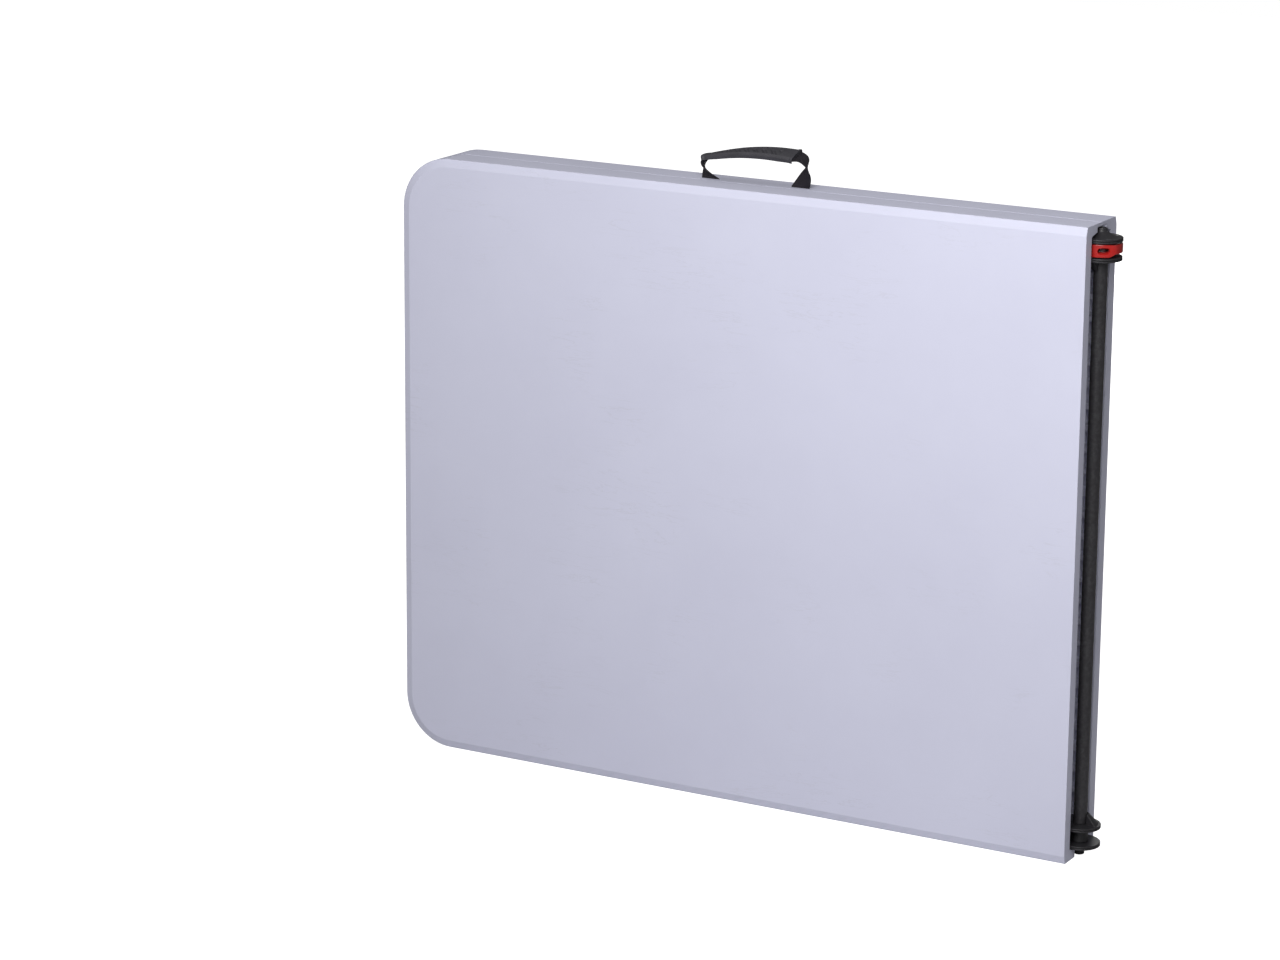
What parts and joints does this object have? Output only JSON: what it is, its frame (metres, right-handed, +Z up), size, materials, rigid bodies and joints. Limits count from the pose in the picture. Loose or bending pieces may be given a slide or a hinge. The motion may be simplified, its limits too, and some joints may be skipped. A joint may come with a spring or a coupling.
{
  "type": "folding table",
  "caption": "Fold-in-half moulded plastic table with folding steel legs, shown shut on its long edge with a carry handle and a red fold latch.",
  "frame": {"origin": "under the middle of the shut table, on the surface that its long edge stands on", "axes": "+X from the rounded outer ends to the fold, +Y from the front half to the rear half, +Z up"},
  "size_m": [0.9394, 0.088, 0.803],
  "materials": {
    "table_plastic": "pale grey blow-moulded polyethylene with a fine grain",
    "latch_plastic": "red moulded plastic",
    "grip_plastic": "black moulded grip",
    "black_plastic": "black moulded plastic",
    "webbing": "black woven webbing",
    "coated_steel": "charcoal powder coat",
    "zinc_steel": "zinc-plated steel"
  },
  "bodies": {
    "front_half": {"front_top_panel": "table_plastic", "front_rail_lower": "coated_steel", "front_rail_upper": "coated_steel", "front_hinge_bracket_lower": "coated_steel", "front_hinge_bracket_upper": "coated_steel", "front_pivot_bracket_lower": "coated_steel", "front_pivot_bracket_upper": "coated_steel", "front_leg_pivot_tube": "coated_steel", "front_leg_lower": "coated_steel", "front_leg_upper": "coated_steel", "front_foot_bar": "coated_steel", "front_foot_caps": "black_plastic", "front_crossbar": "coated_steel", "front_crossbar_clip": "coated_steel", "front_brace_long_link": "zinc_steel", "front_brace_short_link": "zinc_steel", "front_brace_bracket": "coated_steel", "front_brace_rivets": "zinc_steel", "front_leg_clips": "black_plastic", "front_screws": "zinc_steel", "hinge_tube": "coated_steel", "hinge_tube_plugs": "black_plastic", "hinge_pin_lower": "zinc_steel", "hinge_pin_upper": "zinc_steel", "hinge_spacer": "black_plastic", "latch_spring": "zinc_steel"},
    "rear_half": {"rear_top_panel": "table_plastic", "rear_rail_lower": "coated_steel", "rear_rail_upper": "coated_steel", "rear_hinge_bracket_lower": "coated_steel", "rear_hinge_bracket_upper": "coated_steel", "rear_pivot_bracket_lower": "coated_steel", "rear_pivot_bracket_upper": "coated_steel", "rear_leg_pivot_tube": "coated_steel", "rear_leg_lower": "coated_steel", "rear_leg_upper": "coated_steel", "rear_foot_bar": "coated_steel", "rear_foot_caps": "black_plastic", "rear_crossbar": "coated_steel", "rear_crossbar_clip": "coated_steel", "rear_brace_long_link": "zinc_steel", "rear_brace_short_link": "zinc_steel", "rear_brace_bracket": "coated_steel", "rear_brace_rivets": "zinc_steel", "rear_leg_clips": "black_plastic", "rear_screws": "zinc_steel", "strap_tails": "webbing", "strap_anchors": "zinc_steel"},
    "latch": {"latch_lever": "latch_plastic"},
    "handle": {"handle_grip": "grip_plastic", "handle_strap": "webbing"},
    "front_ring": {"front_lock_ring": "zinc_steel"},
    "rear_ring": {"rear_lock_ring": "zinc_steel"}
  },
  "joints": [
    {"name": "fold_hinge", "type": "hinge", "parent": "front_half", "child": "rear_half", "pos_m": [0.44525, 0, 0.38], "axis": [0, 0, -1], "range_deg": [0, 180]},
    {"name": "latch_pivot", "type": "hinge", "parent": "front_half", "child": "latch", "pos_m": [0.44525, 0, 0.73], "axis": [0, 0, 1], "range_deg": [0, 30], "stiffness_Nm_per_rad": 0.2},
    {"name": "handle_swing", "type": "hinge", "parent": "rear_half", "child": "handle", "pos_m": [-0.00575, 0.012, 0.7622], "axis": [1, 0, 0], "range_deg": [-50, 50], "stiffness_Nm_per_rad": 0.1},
    {"name": "front_ring_slide", "type": "slide", "parent": "front_half", "child": "front_ring", "axis": [-1, 0, 0], "range_m": [0, 0.18]},
    {"name": "rear_ring_slide", "type": "slide", "parent": "rear_half", "child": "rear_ring", "axis": [-1, 0, 0], "range_m": [0, 0.18]}
  ]
}
